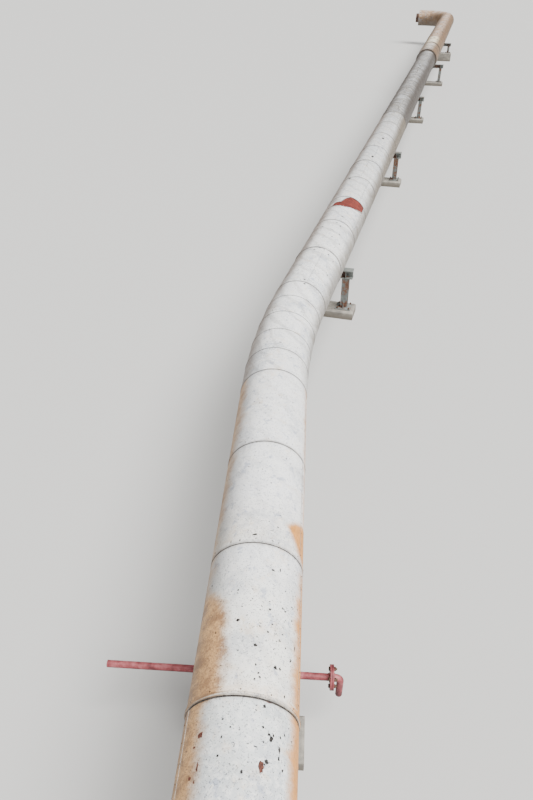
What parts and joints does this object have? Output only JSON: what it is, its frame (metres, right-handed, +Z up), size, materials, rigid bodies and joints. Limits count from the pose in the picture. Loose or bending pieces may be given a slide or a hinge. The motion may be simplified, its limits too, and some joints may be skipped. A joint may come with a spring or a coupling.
{
  "type": "insulated steam main on trestles",
  "caption": "Long lagged and sheet-clad steam main on low welded steel trestles, with a slight mitred bend, a thicker beige far run and an end elbow.",
  "frame": {"origin": "centre of the plan bounding box, on the ground at the footings' undersides", "axes": "+Z up, +Y along the long straight run from the near bend to the far elbow, +X to the right when looking along +Y"},
  "size_m": [2.9618, 39.6809, 1.5574],
  "materials": {
    "painted_sheet": "satin",
    "beige_sheet": "matte",
    "red_wrap": "matte",
    "mineral_wool": "matte",
    "pipe_steel": "matte",
    "trestle_paint": "satin",
    "concrete": "matte",
    "drain_paint": "satin",
    "gasket_sheet": "matte"
  },
  "bodies": {
    "root": {"carrier_bend": "pipe_steel", "carrier_elbow": "pipe_steel", "carrier_pipe_long": "pipe_steel", "carrier_pipe_near": "pipe_steel", "carrier_pipe_stub": "pipe_steel", "cladding_bend": "painted_sheet", "cladding_elbow": "beige_sheet", "cladding_far": "beige_sheet", "cladding_long_first_half": "painted_sheet", "cladding_long_second_half": "painted_sheet", "cladding_near": "painted_sheet", "cladding_stub": "beige_sheet", "drain_flange": "drain_paint", "drain_gasket": "gasket_sheet", "drain_line": "drain_paint", "drain_outlet": "drain_paint", "drain_pocket": "drain_paint", "end_cap_far": "beige_sheet", "end_cap_near": "painted_sheet", "footing_1": "concrete", "footing_2": "concrete", "footing_3": "concrete", "footing_4": "concrete", "footing_5": "concrete", "footing_6": "concrete", "insulation_bend": "mineral_wool", "insulation_elbow": "mineral_wool", "insulation_far": "mineral_wool", "insulation_long": "red_wrap", "insulation_near": "mineral_wool", "insulation_stub": "mineral_wool", "pipe_shoe_1": "trestle_paint", "pipe_shoe_2": "trestle_paint", "pipe_shoe_3": "trestle_paint", "pipe_shoe_4": "trestle_paint", "pipe_shoe_5": "trestle_paint", "pipe_shoe_6": "trestle_paint", "step_cap": "beige_sheet", "trestle_1": "trestle_paint", "trestle_2": "trestle_paint", "trestle_3": "trestle_paint", "trestle_4": "trestle_paint", "trestle_5": "trestle_paint", "trestle_6": "trestle_paint"}
  },
  "joints": []
}
